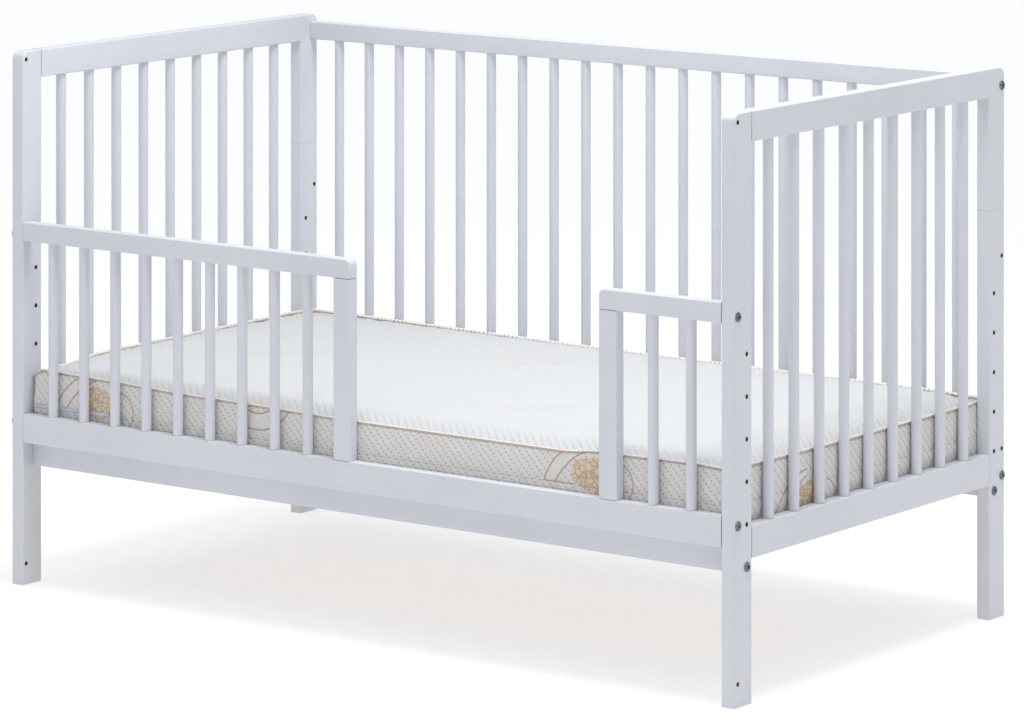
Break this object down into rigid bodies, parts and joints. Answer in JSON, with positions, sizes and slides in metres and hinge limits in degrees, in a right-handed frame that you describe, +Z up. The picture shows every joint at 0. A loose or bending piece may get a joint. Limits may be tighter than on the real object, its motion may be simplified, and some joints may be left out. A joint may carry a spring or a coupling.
{
  "type": "toddler bed",
  "caption": "Low white wooden bed for a young child: slatted ends and back, a mattress, and short guards along the front with an entry gap between them.",
  "frame": {"origin": "on the floor, under the middle of the bed's footprint", "axes": "+X along the bed, towards the end with the short guard; -Y the front, with the entry gap; +Z up"},
  "size_m": [1.3802, 0.741, 0.843],
  "materials": {
    "white_paint": "satin",
    "bare_wood": "matte",
    "zinc_steel": "satin",
    "mattress_cover": "matte"
  },
  "bodies": {
    "bed_frame": {"back_bottom_rail_and_spindles": "white_paint", "back_top_rail": "white_paint", "base_side_rail_front": "white_paint", "base_side_rail_rear": "white_paint", "base_slat_deck": "bare_wood", "bolt_front_left_base": "zinc_steel", "bolt_front_left_guard": "zinc_steel", "bolt_front_left_rail": "zinc_steel", "bolt_front_right_base": "zinc_steel", "bolt_front_right_guard": "zinc_steel", "bolt_front_right_rail": "zinc_steel", "bolt_rear_left_base": "zinc_steel", "bolt_rear_left_bottom": "zinc_steel", "bolt_rear_left_top": "zinc_steel", "bolt_rear_right_base": "zinc_steel", "bolt_rear_right_bottom": "zinc_steel", "bolt_rear_right_top": "zinc_steel", "end_bottom_rail_left": "white_paint", "end_bottom_rail_right": "white_paint", "end_spindle_left_1": "white_paint", "end_spindle_left_2": "white_paint", "end_spindle_left_3": "white_paint", "end_spindle_left_4": "white_paint", "end_spindle_left_5": "white_paint", "end_spindle_left_6": "white_paint", "end_spindle_left_7": "white_paint", "end_spindle_left_8": "white_paint", "end_spindle_left_9": "white_paint", "end_spindle_right_1": "white_paint", "end_spindle_right_2": "white_paint", "end_spindle_right_3": "white_paint", "end_spindle_right_4": "white_paint", "end_spindle_right_5": "white_paint", "end_spindle_right_6": "white_paint", "end_spindle_right_7": "white_paint", "end_spindle_right_8": "white_paint", "end_spindle_right_9": "white_paint", "end_top_rail_left": "white_paint", "end_top_rail_right": "white_paint", "front_bottom_rail": "white_paint", "guard_spindle_left_1": "white_paint", "guard_spindle_left_2": "white_paint", "guard_spindle_left_3": "white_paint", "guard_spindle_left_4": "white_paint", "guard_spindle_left_5": "white_paint", "guard_spindle_left_6": "white_paint", "guard_spindle_left_7": "white_paint", "guard_spindle_left_8": "white_paint", "guard_spindle_left_9": "white_paint", "guard_spindle_right_1": "white_paint", "guard_spindle_right_2": "white_paint", "guard_stile_left": "white_paint", "guard_stile_right": "white_paint", "guard_top_rail_left": "white_paint", "guard_top_rail_right": "white_paint", "leg_front_left": "white_paint", "leg_front_right": "white_paint", "leg_rear_left": "white_paint", "leg_rear_right": "white_paint"},
    "mattress": {"mattress": "mattress_cover"}
  },
  "joints": [
    {"name": "mattress_lift", "type": "slide", "parent": "bed_frame", "child": "mattress", "axis": [0, 0, 1], "range_m": [0, 0.65]}
  ]
}
